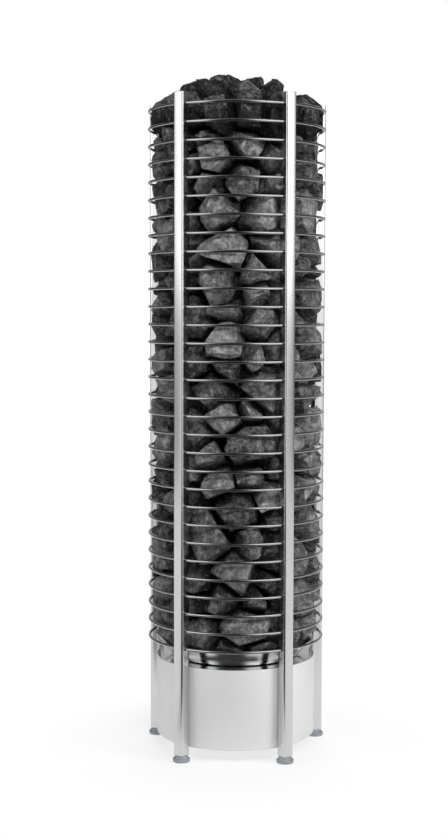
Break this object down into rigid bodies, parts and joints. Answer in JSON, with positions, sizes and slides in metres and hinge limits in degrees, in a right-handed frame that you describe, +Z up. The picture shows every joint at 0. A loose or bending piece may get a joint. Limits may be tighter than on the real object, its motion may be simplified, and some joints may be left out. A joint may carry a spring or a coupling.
{
  "type": "sauna heater",
  "caption": "Tall round sauna heater: square posts threaded with wire rings cage a column of dark stones round upright elements, over a round steel base on levelling feet.",
  "frame": {"origin": "on the floor, under the middle of the round base", "axes": "+Z up, -Y to the front between the two front posts, +X to the right"},
  "size_m": [0.3198, 0.3243, 1.1884],
  "materials": {
    "wire_steel": "bright drawn stainless wire",
    "post_steel": "satin stainless square tube",
    "base_steel": "polished stainless sheet",
    "plate_steel": "plain mill finish",
    "element_sheath": "heat-dulled sheath",
    "stone": "rough broken dark stone",
    "foot_metal": "dull zinc plate",
    "block_ceramic": "unglazed",
    "lead_sleeve": "woven glass sleeve",
    "stud_brass": "plain",
    "gland_plastic": "black polyamide"
  },
  "bodies": {
    "heater": {"cage_ring_01": "wire_steel", "cage_ring_02": "wire_steel", "cage_ring_03": "wire_steel", "cage_ring_04": "wire_steel", "cage_ring_05": "wire_steel", "cage_ring_06": "wire_steel", "cage_ring_07": "wire_steel", "cage_ring_08": "wire_steel", "cage_ring_09": "wire_steel", "cage_ring_10": "wire_steel", "cage_ring_11": "wire_steel", "cage_ring_12": "wire_steel", "cage_ring_13": "wire_steel", "cage_ring_14": "wire_steel", "cage_ring_15": "wire_steel", "cage_ring_16": "wire_steel", "cage_ring_17": "wire_steel", "cage_ring_18": "wire_steel", "cage_ring_19": "wire_steel", "cage_ring_20": "wire_steel", "cage_ring_21": "wire_steel", "cage_ring_22": "wire_steel", "cage_ring_23": "wire_steel", "cage_ring_24": "wire_steel", "cage_ring_25": "wire_steel", "cage_ring_26": "wire_steel", "cage_ring_27": "wire_steel", "cage_ring_28": "wire_steel", "cage_ring_29": "wire_steel", "cage_ring_30": "wire_steel", "cage_ring_31": "wire_steel", "post_front_right": "post_steel", "post_side_right": "post_steel", "post_rear": "post_steel", "post_side_left": "post_steel", "post_front_left": "post_steel", "base_shell": "base_steel", "bottom_plate": "plate_steel", "element_plate": "plate_steel", "stone_tray": "base_steel", "heating_element_1": "element_sheath", "heating_element_2": "element_sheath", "heating_element_3": "element_sheath", "heating_element_4": "element_sheath", "heating_element_5": "element_sheath", "heating_element_6": "element_sheath", "terminal_block": "block_ceramic", "wiring_harness": "lead_sleeve", "cable_gland": "gland_plastic", "earth_stud": "stud_brass", "stone_layer_lower": "stone", "stone_layer_middle": "stone", "stone_layer_upper": "stone", "stone_core": "stone", "stone_crown": "stone"},
    "front_right_foot": {"foot_front_right": "foot_metal"},
    "side_right_foot": {"foot_side_right": "foot_metal"},
    "rear_foot": {"foot_rear": "foot_metal"},
    "side_left_foot": {"foot_side_left": "foot_metal"},
    "front_left_foot": {"foot_front_left": "foot_metal"}
  },
  "joints": [
    {"name": "front_right_foot_levelling", "type": "slide", "parent": "heater", "child": "front_right_foot", "axis": [0, 0, -1], "range_m": [0, 0.012]},
    {"name": "side_right_foot_levelling", "type": "slide", "parent": "heater", "child": "side_right_foot", "axis": [0, 0, -1], "range_m": [0, 0.012]},
    {"name": "rear_foot_levelling", "type": "slide", "parent": "heater", "child": "rear_foot", "axis": [0, 0, -1], "range_m": [0, 0.012]},
    {"name": "side_left_foot_levelling", "type": "slide", "parent": "heater", "child": "side_left_foot", "axis": [0, 0, -1], "range_m": [0, 0.012]},
    {"name": "front_left_foot_levelling", "type": "slide", "parent": "heater", "child": "front_left_foot", "axis": [0, 0, -1], "range_m": [0, 0.012]}
  ]
}
